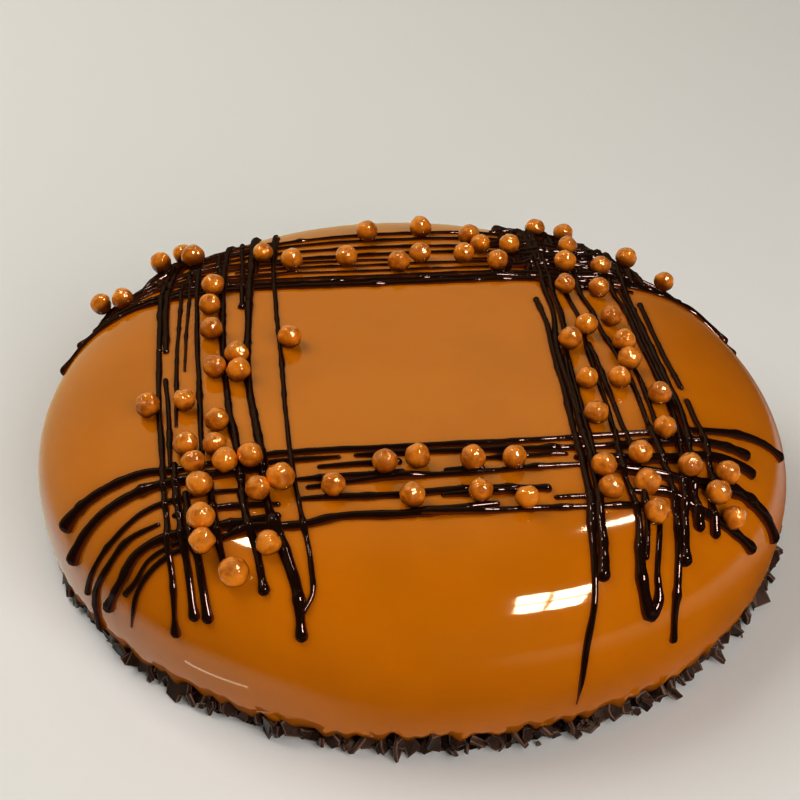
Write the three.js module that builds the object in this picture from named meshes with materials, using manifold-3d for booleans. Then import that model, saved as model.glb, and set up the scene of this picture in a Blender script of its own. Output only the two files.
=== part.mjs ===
// A low round caramel cake as one fused solid: a mirror-glazed dome with thick chocolate
// drizzle in four crossing bands, crisp pearls lying along the bands, and chocolate shards
// pressed round the foot. Millimetres, +Z up, standing on z = 0 with its middle on the Z axis.

import * as THREE from 'three';
import { mergeVertices } from 'three/addons/utils/BufferGeometryUtils.js';
import Module from 'manifold-3d';

const wasm = await Module();
wasm.setup();

// Glazed body
const CAKE_RADIUS = 100;
const CAKE_HEIGHT = 46;
const WAIST_HEIGHT = 17;
const DOME_FULLNESS = 4.9;
const GLAZE_EDGE_HEIGHT = 5;
const GLAZE_EDGE_RADIUS = 97.7;
const FOOT_RADIUS = 96.4;
const ROUND_SEGMENTS = 36;
const FLAT_TOP_RADIUS = 41;
const DOME_RINGS = [57, 69, 78, 85.5, 91.5, 96, 99];
const EDGE_RINGS = 2;
const MERIDIAN_STEPS = 400;

// Drizzle: the bands make a square that is turned a little about the middle
const PATTERN_TURN = THREE.MathUtils.degToRad(6.5);
const STRAND_RISE = 0.55;
const STRAND_SINK = 0.4;
const STRAND_SLACK = 0.3;
const STRAND_LOOKS = 160;

// Pearls
const PEARL_DIAMETER = 6.2;
const PEARL_SPREAD = 0.08;
const PEARL_LIFT = 0.4;
const PEARL_CORNER = 1.08;

// Shards round the foot
const SHARD_COUNT = 80;
const SHARD_LENGTH = [4, 6];
const SHARD_HEIGHT = [4, 7.5];
const SHARD_THICKNESS = [1.2, 2.2];
const SHARD_RING_RADIUS = 98.1;
const SHARD_REACH = 102;
const SHARD_RAGGED = 0.22;
const SHARD_TWIST = [-0.9, 0.9];
const SHARD_LEAN = [-0.5, 0.9];
const SHARD_SEAT = 0.4;

const RANDOM_SEED = 20;

// Each strand has its width at the glaze and its route.
// A place on the cake is [across, away]: distances in mm from the middle of the top, measured
// over the glaze, to the right and to the back of the drizzle square.
const DRIZZLE = [
  // Left band, back to front
  { width: 3.2, route: [[-64, 82], [-66.5, 38], [-66, 6]] },
  { width: 1.7, route: [[-66.5, 8], [-65, -42], [-64.5, -70], [-67.5, -86]] },
  { width: 1.8, route: [[-47, 98], [-50, 37], [-49, -18], [-45.5, -60], [-42, -82.5]] },
  { width: 2, route: [[-40, 94], [-42.5, 36], [-43.5, -8], [-40, -59], [-34.5, -84], [-35, -94.5]] },
  { width: 2.2, route: [[-59.5, -48], [-57, -70], [-57, -85.5]] },
  // Front band, left to right
  { width: 2, route: [[-96, -45], [-78, -42], [0, -40.5], [35, -39], [73, -32.5], [98, -29]] },
  { width: 2.1, route: [[-97, -54], [-80, -48.5], [-61, -46.5], [-41, -46]] },
  { width: 1.7, route: [[-33, -57.5], [-10, -58.5], [27, -57.5]] },
  { width: 2, route: [[-50, -66], [-38, -64.5], [-8, -65], [14, -62.5], [49, -61.5]] },
  { width: 2.2, route: [[-89.5, -71], [-73, -63.5], [-59, -61.5], [-39, -62]] },
  { width: 1.9, route: [[20, -43], [60, -45], [70, -42.5], [83, -44]] },
  { width: 2.1, route: [[40, -50], [62, -52], [75.5, -51.5], [94, -57]] },
  // Right band, back to front
  { width: 1.9, route: [[37, 99], [36, 28], [36, -37], [34.5, -73], [32, -98], [34.5, -113]] },
  { width: 1.7, route: [[41.5, 22], [46, -10], [45.5, -52], [46, -83], [48.5, -89], [50.5, -85], [52, -68]] },
  { width: 1.8, route: [[51, 92], [48.5, 32], [54, -22], [57, -62], [56, -80], [58.5, -94.5]] },
  { width: 2, route: [[62, 84], [62, 28], [65, -20], [63, -66.5]] },
  // Back band, left to right
  { width: 3.4, route: [[-106, 27], [-88, 34], [-66, 37], [60, 38.5], [86, 37], [102, 28]] },
  { width: 1.8, route: [[-92, 44], [-62, 51], [-30, 53.5], [40, 54], [88, 45]] },
  { width: 2, route: [[-82, 58], [-50, 64], [0, 67], [40, 66], [80, 58]] },
];

// Pearl places on the glaze
const PEARLS = [
  // Left band
  [-52.5, 35.5], [-53.5, 25.5], [-53, 12], [-46.5, -1], [-52, -6.5], [-46, -9], [-32.5, 6], [-68.5, -19.5],
  [-59.5, -19.5], [-51.5, -29], [-59, -36.5], [-52, -38], [-57, -43.5], [-49.5, -44.5], [-43.5, -44],
  [-55.5, -51], [-42, -55], [-36.5, -52.5], [-55, -61], [-55, -67], [-40, -71], [-48.5, -76],
  // Back band
  [-87, 39], [-80.5, 42.5], [-67.5, 56], [-63.5, 62], [-57.5, 64.5], [-38.5, 54.5], [-30.5, 48], [-15, 48.5],
  [-8, 64.5], [-0.5, 44.5], [8, 67.5], [6, 49.5], [18.5, 48.5], [21.5, 61], [24, 54.5], [32, 53],
  [27.5, 44], [43, 73], [68, 58], [78, 48],
  // Right band
  [50, 66], [49, 53.5], [46.5, 42.5], [44.5, 30], [57, 43], [54, 29.5], [46.5, 8], [41, 1], [54.5, 13.5],
  [55.5, 1], [55, -8], [51, -16], [42.5, -16.5], [42, -31.5], [60, -22.5], [58, -37],
  // Front band
  [-24.5, -56], [-12, -49.5], [-4, -47.5], [9, -49.5], [19, -49], [-6.5, -61], [9.5, -60.5], [20, -63],
  [49.5, -47.5], [40, -52], [40.5, -59], [50.5, -55], [61.5, -49.5], [67.5, -56], [72, -48.5],
  [71.5, -61], [50.5, -65],
];

// Repeatable random numbers from 0 to 1
let randomState = RANDOM_SEED;
function random() {
  randomState = (Math.imul(randomState, 1664525) + 1013904223) >>> 0;
  return randomState / 2 ** 32;
}

function randomBetween([low, high]) {
  return low + (high - low) * random();
}

// Height of the dome over a point at this radius, above the waist
function domeHeight(radius) {
  const rise = Math.sqrt(1 - (radius / CAKE_RADIUS) ** DOME_FULLNESS);
  return WAIST_HEIGHT + (CAKE_HEIGHT - WAIST_HEIGHT) * rise;
}

// The glaze curls in under the waist by a quarter ellipse; part runs from 0 to 1
function underCurl(part) {
  const angle = part * Math.PI / 2;
  const radius = GLAZE_EDGE_RADIUS + (CAKE_RADIUS - GLAZE_EDGE_RADIUS) * Math.cos(angle);
  const height = WAIST_HEIGHT - (WAIST_HEIGHT - GLAZE_EDGE_HEIGHT) * Math.sin(angle);
  return new THREE.Vector2(radius, height);
}

// Fine points down the glaze from the middle of the top to its lower edge, with the distance to each
function measureMeridian() {
  const points = [];
  for (let i = 0; i < MERIDIAN_STEPS; i++) {
    const radius = CAKE_RADIUS * Math.sin(i / MERIDIAN_STEPS * Math.PI / 2);
    points.push(new THREE.Vector2(radius, domeHeight(radius)));
  }
  for (let i = 0; i <= MERIDIAN_STEPS; i++) {
    points.push(underCurl(i / MERIDIAN_STEPS));
  }
  const distances = [0];
  for (let i = 1; i < points.length; i++) {
    distances.push(distances[i - 1] + points[i].distanceTo(points[i - 1]));
  }
  return { points, distances };
}

const meridian = measureMeridian();

// The point on the glaze at a place, and the direction straight out of the glaze there
function onGlaze(across, away) {
  const { points, distances } = meridian;
  const distance = Math.hypot(across, away);
  const heading = Math.atan2(away, across) + PATTERN_TURN;
  const found = distances.findIndex((value) => value > distance);
  const index = found < 0 ? points.length - 1 : Math.max(found, 1);
  const span = distances[index] - distances[index - 1];
  const part = Math.min((distance - distances[index - 1]) / span, 1);
  const spot = points[index - 1].clone().lerp(points[index], part);
  const slope = points[index].clone().sub(points[index - 1]).normalize();
  const outward = new THREE.Vector3(Math.cos(heading), Math.sin(heading), 0);
  const point = outward.clone().multiplyScalar(spot.x).setZ(spot.y);
  const up = outward.clone().multiplyScalar(-slope.y).setZ(slope.x);
  return { point, up };
}

// A strand's middle line on the glaze. Its steps are as long as they can be while they stay within
// STRAND_SLACK of the curve, and its section keeps one axis straight out of the glaze.
class StrandPath extends THREE.Curve {
  constructor(route) {
    super();
    const places = route.map(([across, away]) => new THREE.Vector3(across, away, 0));
    this.plan = new THREE.CatmullRomCurve3(places, false, 'centripetal');
    this.times = [0];
    for (let i = 2; i < STRAND_LOOKS; i++) {
      if (this.strayBetween(this.times.at(-1), i / STRAND_LOOKS) > STRAND_SLACK) {
        this.times.push((i - 1) / STRAND_LOOKS);
      }
    }
    this.times.push(1);
  }

  get steps() {
    return this.times.length - 1;
  }

  // How far the curve strays from a straight step between two times
  strayBetween(start, end) {
    const step = new THREE.Line3(this.getPoint(start), this.getPoint(end));
    const middle = this.getPoint((start + end) / 2);
    return step.closestPointToPoint(middle, true, new THREE.Vector3()).distanceTo(middle);
  }

  surface(t) {
    const place = this.plan.getPoint(t);
    return onGlaze(place.x, place.y);
  }

  getPoint(t, target = new THREE.Vector3()) {
    return target.copy(this.surface(t).point);
  }

  getSpacedPoints() {
    return this.times.map((t) => this.getPoint(t));
  }

  computeFrenetFrames() {
    const tangents = this.times.map((t) => this.getTangent(t));
    const normals = this.times.map((t, i) => this.surface(t).up.cross(tangents[i]).normalize());
    const binormals = tangents.map((tangent, i) => tangent.clone().cross(normals[i]));
    return { tangents, normals, binormals };
  }
}

// A closed three.js geometry as a solid that can be joined to others
function solid(geometry) {
  geometry.deleteAttribute('normal');
  geometry.deleteAttribute('uv');
  const merged = mergeVertices(geometry);
  const corners = merged.index.array;
  const triVerts = [];
  for (let i = 0; i < corners.length; i += 3) {
    const [a, b, c] = corners.slice(i, i + 3);
    if (a !== b && b !== c && c !== a) {
      triVerts.push(a, b, c);
    }
  }
  return new wasm.Manifold(new wasm.Mesh({
    numProp: 3,
    vertProperties: new Float32Array(merged.attributes.position.array),
    triVerts: new Uint32Array(triVerts),
  }));
}

function glazedBody() {
  const profile = [
    new THREE.Vector2(0, 0),
    new THREE.Vector2(FOOT_RADIUS, 0),
    new THREE.Vector2(FOOT_RADIUS, GLAZE_EDGE_HEIGHT),
  ];
  for (let i = EDGE_RINGS; i >= 0; i--) {
    profile.push(underCurl(i / EDGE_RINGS));
  }
  for (const radius of [...DOME_RINGS].reverse()) {
    profile.push(new THREE.Vector2(radius, domeHeight(radius)));
  }
  profile.push(new THREE.Vector2(FLAT_TOP_RADIUS, CAKE_HEIGHT), new THREE.Vector2(0, CAKE_HEIGHT));
  return solid(new THREE.LatheGeometry(profile, ROUND_SEGMENTS).rotateX(Math.PI / 2));
}

// A ridge of the given width at the glaze, its base sunk below
function strandSection(width) {
  const base = width / 2 * (1 + STRAND_SINK / STRAND_RISE);
  return new THREE.Shape([
    new THREE.Vector2(-base, -width * STRAND_SINK),
    new THREE.Vector2(base, -width * STRAND_SINK),
    new THREE.Vector2(0, width * STRAND_RISE),
  ]);
}

function strand({ width, route }) {
  const path = new StrandPath(route);
  const options = { steps: path.steps, extrudePath: path, bevelEnabled: false };
  return solid(new THREE.ExtrudeGeometry(strandSection(width), options));
}

function pearl([across, away]) {
  const { point, up } = onGlaze(across, away);
  const radius = PEARL_DIAMETER / 2 * randomBetween([1 - PEARL_SPREAD, 1 + PEARL_SPREAD]);
  const centre = point.addScaledVector(up, radius * 2 * PEARL_LIFT);
  const ball = new THREE.IcosahedronGeometry(radius * PEARL_CORNER);
  ball.rotateX(random() * Math.PI).rotateZ(random() * Math.PI);
  return solid(ball.translate(centre.x, centre.y, centre.z));
}

// A ragged block that leans against the foot, kept on the ground and within reach
function shard(turn) {
  const length = randomBetween(SHARD_LENGTH);
  const height = randomBetween(SHARD_HEIGHT);
  const block = new THREE.BoxGeometry(length, randomBetween(SHARD_THICKNESS), height);
  block.deleteAttribute('normal');
  block.deleteAttribute('uv');
  const ragged = mergeVertices(block);
  const corners = ragged.attributes.position;
  for (let i = 0; i < corners.count; i++) {
    const sway = randomBetween([-SHARD_RAGGED, SHARD_RAGGED]) * length;
    const dip = randomBetween([-SHARD_RAGGED, SHARD_RAGGED]) * height;
    corners.setXYZ(i, corners.getX(i) + sway, corners.getY(i), corners.getZ(i) + dip);
  }
  ragged.rotateZ(randomBetween(SHARD_TWIST)).rotateX(randomBetween(SHARD_LEAN));
  ragged.translate(0, -SHARD_RING_RADIUS, height * SHARD_SEAT).rotateZ(turn);
  for (let i = 0; i < corners.count; i++) {
    const reach = Math.hypot(corners.getX(i), corners.getY(i));
    const pull = Math.min(1, SHARD_REACH / reach);
    corners.setXYZ(i, corners.getX(i) * pull, corners.getY(i) * pull, Math.max(corners.getZ(i), 0));
  }
  return solid(ragged);
}

function shardRing() {
  const ring = [];
  for (let i = 0; i < SHARD_COUNT; i++) {
    ring.push(shard((i + random()) / SHARD_COUNT * Math.PI * 2));
  }
  return ring;
}

// Everything is joined, and only the outer shell is kept: no sealed hollow and no loose crumb
function caramelCake() {
  const pieces = [glazedBody(), ...DRIZZLE.map(strand), ...PEARLS.map(pearl), ...shardRing()];
  const shells = wasm.Manifold.union(pieces).decompose();
  const outer = shells.reduce((best, shell) => (shell.volume() > best.volume() ? shell : best));
  const { vertProperties, triVerts } = outer.getMesh();
  const geometry = new THREE.BufferGeometry();
  geometry.setAttribute('position', new THREE.BufferAttribute(vertProperties, 3));
  geometry.setIndex(new THREE.BufferAttribute(triVerts, 1));
  geometry.computeVertexNormals();
  const caramel = new THREE.MeshStandardMaterial({ color: 0xc46404, roughness: 0.12, metalness: 0 });
  const mesh = new THREE.Mesh(geometry, caramel);
  mesh.name = 'caramel_cake';
  return mesh;
}

const cake = new THREE.Group();
cake.name = 'cake';
cake.add(caramelCake());

export default cake;
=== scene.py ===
"""Builds the looks of a mirror-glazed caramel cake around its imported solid.

The file is laid out as a Blender add-on: settings, one operator for each kind of piece and one for
the stage, and a sidebar panel. Run as a script, it builds the whole cake.
"""

import math

import bmesh
import bpy
import numpy as np
from bpy.props import FloatProperty, FloatVectorProperty, IntProperty, PointerProperty
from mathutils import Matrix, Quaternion, Vector
from mathutils.kdtree import KDTree


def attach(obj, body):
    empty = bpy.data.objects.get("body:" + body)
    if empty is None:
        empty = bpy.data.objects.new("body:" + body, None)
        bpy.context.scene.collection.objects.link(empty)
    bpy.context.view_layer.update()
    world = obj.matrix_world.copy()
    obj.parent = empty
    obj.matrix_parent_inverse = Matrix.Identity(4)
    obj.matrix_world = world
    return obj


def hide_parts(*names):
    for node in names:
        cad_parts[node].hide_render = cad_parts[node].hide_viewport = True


bl_info = {
    "name": "Caramel Cake",
    "version": (1, 0, 0),
    "blender": (4, 5, 0),
    "location": "View3D > Sidebar > Cake",
    "description": "Builds a mirror-glazed caramel cake with chocolate drizzle, crisp pearls and shards",
    "category": "Add Mesh",
}

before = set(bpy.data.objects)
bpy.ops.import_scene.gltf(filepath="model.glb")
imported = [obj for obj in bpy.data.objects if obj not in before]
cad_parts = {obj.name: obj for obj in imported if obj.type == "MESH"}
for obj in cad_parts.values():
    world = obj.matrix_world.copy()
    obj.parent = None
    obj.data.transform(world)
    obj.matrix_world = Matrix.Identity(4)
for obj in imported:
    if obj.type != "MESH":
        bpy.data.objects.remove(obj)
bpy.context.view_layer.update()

BODY = "root"
NODE = "caramel_cake"
MM = 0.001

# Strands of drizzle: width, width of the drop or tip at the start and at the end, and the route.
# A place on the cake is (across, away) in mm from the middle of the top, measured over the glaze,
# to the right and to the back of the drizzle square. A third value is the strand's width there.
LEFT_BAND = (
    (1.7, 2.4, 1.8, ((-62, 84), (-67.2, 42), (-67, 7))),
    (1.7, 2.2, 1.8, ((-60, 80), (-65.4, 42), (-65.2, 6))),
    (1.5, 1.5, 3.2, ((-66.9, 7), (-66.4, -12), (-65, -42), (-64.3, -62), (-64.8, -76), (-67.5, -86))),
    (1.3, 1.3, 1.0, ((-64.8, -6), (-63.8, -20), (-63, -42))),
    (1.1, 1.1, 0.9, ((-61.5, 45), (-62.2, 0), (-61.8, -27))),
    (0.9, 0.9, 0.7, ((-59.4, 46), (-60, -4))),
    (1.4, 2.4, 1.2, ((-57, 92), (-57.3, 36), (-56.7, 4), (-56, -20), (-55.3, -44))),
    (1.8, 3.2, 3.2, ((-47, 99), (-50.2, 37), (-49, -18), (-46.8, -40), (-45.3, -60), (-43.4, -70),
                     (-42, -82.5))),
    (1.4, 1.4, 2.6, ((-45, 38), (-45, 25.5))),
    (2.0, 3.2, 3.2, ((-40, 95), (-42.7, 36), (-43.4, 14), (-43.8, -11), (-41.5, -36), (-39.8, -59),
                     (-36.7, -72, 2.6), (-34.5, -84, 2.4), (-34.8, -94.5, 2.4))),
    (1.2, 2.0, 1.3, ((-35, 88), (-35.8, 36), (-35, -8), (-34.2, -38), (-32.6, -60), (-31, -77),
                     (-31.2, -84), (-34, -88.5))),
    (1.8, 1.4, 3.0, ((-62, -40), (-61.2, -55), (-60.3, -66), (-60, -76), (-60.6, -84))),
    (2.2, 1.4, 3.2, ((-59.5, -50), (-58.2, -62), (-57.2, -70), (-56.8, -78), (-57, -85.5))),
    (1.9, 1.4, 1.6, ((-53.3, -48), (-52.5, -62), (-51.2, -73))),
    (2.8, 2.0, 2.0, ((-75, 55), (-67.5, 61), (-59, 67))),
    (2.6, 1.8, 1.8, ((-73, 59), (-67, 63), (-60, 65))),
)
FRONT_BAND = (
    (1.9, 4.8, 3.4, ((-96, -45, 3.2), (-89, -43.3, 3), (-80, -42, 2.8), (-70, -41.3, 2.4), (-61, -42.6),
                     (-41, -41.4), (0, -40.6), (33, -39), (56, -36), (73, -32.5, 2.2), (86, -30, 2.5),
                     (98, -29, 2.7))),
    (2.8, 4.4, 1.8, ((-97, -54), (-88, -51), (-80, -48.5), (-70, -46.8), (-61, -46.5), (-41, -46.3))),
    (1.8, 1.4, 1.2, ((-43, -44.4), (-22, -43.7))),
    (2.0, 1.4, 3.4, ((-19, -43.4), (10, -43), (34, -42.8), (50, -41, 2.4), (64, -38.3, 2.8),
                     (75, -37.3, 2.8), (82.5, -38, 2.8))),
    (1.9, 1.4, 2.2, ((-28, -47), (-7.5, -46.4))),
    (1.6, 1.2, 1.2, ((9, -46.3), (33, -45.2))),
    (2.0, 1.4, 2.6, ((-33, -51), (-7, -50.7))),
    (1.6, 2.0, 1.2, ((-97, -63), (-87.5, -60), (-79.5, -57), (-70, -53), (-60, -52), (-44, -52.9))),
    (1.8, 1.4, 1.4, ((-31, -53.8), (-11, -52.3), (10, -51.5), (36, -49))),
    (1.6, 1.2, 1.6, ((2, -50.3), (12, -51))),
    (1.8, 3.0, 1.2, ((-102, -72), (-96.5, -68), (-90, -65), (-82.5, -62.5), (-75, -59), (-66, -57.6))),
    (1.9, 1.4, 1.4, ((-63, -56.5), (-53, -57), (-37, -58.5))),
    (2.0, 1.4, 2.6, ((-33, -57.6), (-10, -58.5), (10, -57.3), (27, -57.6))),
    (1.8, 1.2, 1.4, ((0.5, -59.3), (20, -58.5))),
    (1.9, 1.4, 1.4, ((27, -60.8), (38, -59.8))),
    (2.4, 3.6, 1.9, ((-89.5, -71), (-84, -69.5), (-78, -67), (-73, -63.5), (-66, -62), (-51, -62.7),
                     (-37, -62))),
    (1.4, 1.8, 1.2, ((-80, -71), (-75, -69.5), (-70, -66), (-62, -64.2), (-52, -64.6))),
    (1.6, 0.6, 1.4, ((-83, -78.5), (-79.5, -76), (-75, -72), (-69.5, -68.7), (-62, -66.4), (-53, -66.6))),
    (2.4, 1.8, 1.6, ((-52, -66.2), (-44, -64.7), (-33, -65.7), (-24, -64.3), (-8, -65), (14, -62.6))),
    (1.7, 1.2, 1.6, ((-5, -65.2), (14, -64.8), (32, -63.5), (51, -61.5))),
    (2.9, 1.8, 3.6, ((34, -46.5), (50, -46.5), (60, -44.8), (70, -42.3), (79, -42.8), (83, -44))),
    (3.2, 1.9, 4.0, ((38, -50), (52, -51), (62, -52), (75.5, -51.5), (82.3, -52.8), (88, -54.5), (94, -57))),
    (2.9, 1.6, 3.6, ((46, -57.5), (56, -57), (62, -60), (70.6, -62.5), (82, -65.2))),
)
RIGHT_BAND = (
    (1.5, 1.9, 0.4, ((36, 26.5), (37, 14), (36.5, -1), (36.4, -17), (35.8, -37.5), (35.8, -58, 1.9),
                     (34.6, -73, 2), (33.8, -87, 1.6), (32.2, -98, 1.6), (32.6, -105, 1.5),
                     (34.5, -114, 1.2))),
    (1.6, 3.0, 3.6, ((38, 100), (39.5, 30), (39.7, 19.5), (37.6, -1), (37.8, -18), (38, -37.5), (38, -58, 2),
                     (37.2, -66, 2.2), (36.8, -74, 2.2), (35.7, -83.5, 2.2))),
    (1.4, 2.8, 1.2, ((42, 92), (41.5, 27), (42, 17), (40, -1), (39.6, -20), (39.2, -36), (39, -50))),
    (1.0, 1.0, 0.9, ((41, 30), (41, 10), (38.8, -8), (38.6, -30))),
    (1.4, 1.6, 1.4, ((45, 40), (45.3, 27), (46.5, 14), (45.8, 2), (46, -16), (46, -36), (45.5, -52),
                     (46.8, -65, 1.8), (46, -74, 2.2), (46, -83, 2.8), (48.5, -89.5, 3.6), (50.6, -86, 2.4),
                     (50.2, -79, 1.5), (52.2, -66, 1.6))),
    (1.4, 1.2, 1.4, ((46.5, 3), (47.2, -5), (47.8, -18), (48.8, -36), (49.3, -58), (48.6, -68), (46.8, -77))),
    (1.5, 3.0, 2.4, ((52, 92), (49, 30), (50.5, 20), (51.5, 9), (53.5, -3), (55, -17), (55.4, -36),
                     (56.3, -50), (56.8, -62, 1.8), (55.9, -80, 2), (56.2, -88, 2), (58.5, -94.5, 2))),
    (1.6, 3.0, 3.6, ((60, 86), (58.8, 32), (60.5, 21), (61, 5), (62.3, -12.5), (62.8, -30), (60.5, -50, 1.9),
                     (58.6, -64, 2.1), (57.4, -76.5, 2.1))),
    (1.1, 1.1, 1.0, ((61, 34), (61.8, 14), (62.6, -4), (64, -20), (66, -36))),
    (1.6, 2.8, 3.4, ((66, 80), (62.8, 31), (63, 11), (63.8, -9), (65, -26), (64, -42), (62.5, -58, 2),
                     (62.8, -66.5, 2))),
    (1.6, 2.6, 1.2, ((70, 76), (66.5, 40))),
    (1.5, 1.9, 1.6, ((65.7, 27), (65.8, 13), (66.3, -1), (68, -16.5))),
    (1.5, 1.6, 3.2, ((68.2, -20.5), (69, -37), (68.5, -50, 1.8), (67, -60, 1.8), (67.3, -67, 1.8))),
    (1.4, 1.2, 1.4, ((56.5, -6), (57.5, -17), (57.5, -37))),
)
BACK_BAND = (
    (1.8, 4.0, 3.6, ((-102, 29), (-97, 31), (-88, 34), (-78, 36), (-66, 36.3), (0, 36.8), (60, 37.5),
                     (86, 37), (95, 33), (102, 28))),
    (1.7, 3.4, 3.0, ((-95, 34.5), (-88, 36.6), (-66, 38.4), (0, 38.8), (60, 39.6), (86, 39), (99, 32))),
    (1.1, 0.9, 0.9, ((-70, 41.8), (-33, 41.4), (0, 41.6), (70, 43))),
    (1.0, 0.8, 0.8, ((-60, 46), (-30, 44.8), (35, 45))),
    (1.1, 0.9, 0.9, ((-47, 48), (0, 48), (30, 48.5))),
    (1.4, 2.6, 2.8, ((-92, 45), (-62, 51), (-30, 53.5), (40, 54), (88, 46))),
    (1.3, 1.0, 1.0, ((-58, 56), (-30, 58.5), (10, 59), (45, 58))),
    (1.4, 1.2, 1.2, ((-57, 60), (-30, 63), (0, 64.2), (30, 64.6), (52, 62))),
    (1.4, 3.0, 2.8, ((-84, 58), (-50, 63.5), (-30, 67), (0, 68.8), (30, 69.7), (80, 58))),
    (1.1, 2.2, 0.9, ((-86, 41), (-72, 45.5), (-40, 50.5), (0, 51))),
    (2.2, 1.6, 1.2, ((-90, 42.5), (-84, 46.5), (-74, 50), (-62, 53))),
    (1.1, 0.9, 2.4, ((20, 50.5), (64, 47.5), (84, 42))),
    (2.6, 3.6, 2.0, ((31.5, 80), (35, 77), (40, 76), (46.5, 71), (50, 60))),
)

# Tangled mats in the back corners: left, right, near and far side, then the number and the mean
# width of the strands that run away and of those that run across
CORNER_MATS = (
    (-74, -32, 36, 80, 8, 1.1, 6, 1.0),
    (31, 68, 34, 80, 24, 1.8, 17, 1.7),
)

# Pearl places on the glaze, in mm as above
PEARL_PLACES = (
    (-52.5, 35.5), (-53.5, 25.5), (-53, 12), (-46.5, -1), (-52, -6.5), (-46, -9), (-32.5, 6), (-68.5, -19.5),
    (-59.5, -19.5), (-51.5, -29), (-59, -36.5), (-52, -38), (-57, -43.5), (-49.5, -44.5), (-43.5, -44),
    (-55.5, -51), (-42, -55), (-55, -67), (-40, -71),
    (-78.5, 44), (-38.5, 54.5), (-30.5, 48), (-15, 48.5),
    (-8, 64.5), (-0.5, 44.5), (8, 67.5), (6, 49.5), (18.5, 48.5), (21.5, 61), (24, 54.5), (32, 53),
    (27.5, 44), (43, 73), (68, 58), (78, 48),
    (50, 66), (49, 53.5), (46.5, 42.5), (44.5, 30), (57, 43), (54, 29.5), (46.5, 8), (41, 1), (54.5, 13.5),
    (55.5, 1), (55, -8), (51, -16), (42.5, -16.5), (42, -31.5), (60, -22.5), (58, -37),
    (-24.5, -56), (-12, -49.5), (-4, -47.5), (9, -49.5), (19, -49), (-6.5, -61), (9.5, -60.5), (20, -63),
    (49.5, -47.5), (40, -52), (40.5, -59), (61.5, -49.5), (67.5, -56), (72, -48.5),
    (71.5, -61), (50.5, -65),
)

# Pearls that lie higher or lower than the others: across, away, how far they are raised and their width
ODD_PEARLS = (
    (-84.5, 46, 1.0, 6.1), (-67.5, 61.5, 0.8, 6.2), (-61.5, 66.5, 0.9, 6.0), (-58.5, 61.5, -0.3, 6.9),
    (-48.5, -76, -1.0, 7.2),
    (50.5, -55, -2.2, 6.6), (-55, -61, 0.3, 6.6), (-36.5, -52.5, 0.3, 6.8),
)

# Panels that show in the glaze as highlights: name, place in metres, width and height, watts, spin
MIRRORED_PANELS = (
    ("left_panel", (-0.508, 0.235, 1.173), (0.12, 0.09), 3.5, 0.0),
    ("right_panel", (0.534, 0.456, 1.094), (0.21, 0.045), 2.9, 1.0),
    ("low_glint", (-0.0545, -0.096, 0.0015), (0.022, 0.0012), 0.0005, 0.0),
)

# A window of two by two panes that is mirrored too: place, pane, gap between panes, watts a pane, spin
WINDOW = ((0.618, -0.41, 1.067), (0.145, 0.13), 0.03, 9.6, -0.75)

# Large panels that light the cake softly and aren't mirrored: name, place, width and height, watts
SOFT_PANELS = (
    ("front_light", (0.63, -0.95, 0.624), (1.1, 1.1), 14.4),
    ("left_light", (-0.8, 0.356, 0.961), (1.0, 1.0), 12.0),
)


def length_setting(name, description, default):
    """A length in metres, from a default in millimetres."""
    return FloatProperty(
        name=name, description=description, default=default * MM, unit="LENGTH", precision=5
    )


def number_setting(name, description, default):
    """A plain number."""
    return FloatProperty(name=name, description=description, default=default)


def count_setting(name, description, default):
    """A whole number."""
    return IntProperty(name=name, description=description, default=default)


def angle_setting(name, description, default):
    """An angle, from a default in degrees."""
    return FloatProperty(
        name=name, description=description, default=math.radians(default), subtype="ANGLE"
    )


def place_setting(name, description, default):
    """A place in metres."""
    return FloatVectorProperty(
        name=name, description=description, default=default, subtype="TRANSLATION"
    )


def colour_setting(name, description, default):
    """A colour, linear red, green and blue."""
    return FloatVectorProperty(
        name=name, description=description, default=default, subtype="COLOR", size=3, min=0, max=1
    )


class GlazeSettings(bpy.types.PropertyGroup):
    """Sizes and colours of the glazed dome."""

    radius: length_setting("Radius", "Half the width of the cake at its widest line", 100)
    height: length_setting("Height", "Height of the bare glaze over the surface", 46)
    waist: length_setting("Waist height", "Height of the widest line", 17)
    fullness: number_setting("Fullness", "Flatness of the top", 4.9)
    edge_radius: length_setting("Edge radius", "Radius of the glaze at its lower edge", 97.7)
    edge_height: length_setting("Edge height", "Mean height of the glaze's lower edge", 5.0)
    ragged: length_setting("Ragged edge", "How far the lower edge wanders up and down", 2.6)
    ragged_seed: count_setting("Ragged seed", "Seed of the lower edge's ups and downs", 12)
    flare: length_setting("Flare", "How far the lower edge stands out over a shard", 1.1)
    flare_seed: count_setting("Flare seed", "Seed of the places where the edge stands out", 5)
    swell: length_setting("Swell", "Slow unevenness of the poured glaze", 0.3)
    # How far the painted shadow round the strands reaches out from them
    shadow_reach: length_setting("Bleed", "How far chocolate bleeds into the glaze", 0.5)
    # How far the crust patches, with their painted shade, reach up from the edge
    crust_and_shadow_height: length_setting("Crust height", "How far the crust reaches up from the edge", 5.0)
    caramel: colour_setting("Caramel", "Main colour of the glaze", (0.6, 0.15, 0.0008))
    # Amber also carries the painted shade low on the side
    amber: colour_setting("Amber", "Colour where the glaze is thin or clouded", (0.33, 0.08, 0.001))
    # Colour of the painted shadow round the strands
    strand_shadow: colour_setting("Stain", "Colour where chocolate has bled in", (0.2, 0.035, 0.001))
    # Colour of the crust patches: set glaze in part, painted shade of the shards in part
    crust_and_shadow: colour_setting("Crust", "Colour where the glaze has set on the shards", (0.04, 0.01, 0.001))


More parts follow.
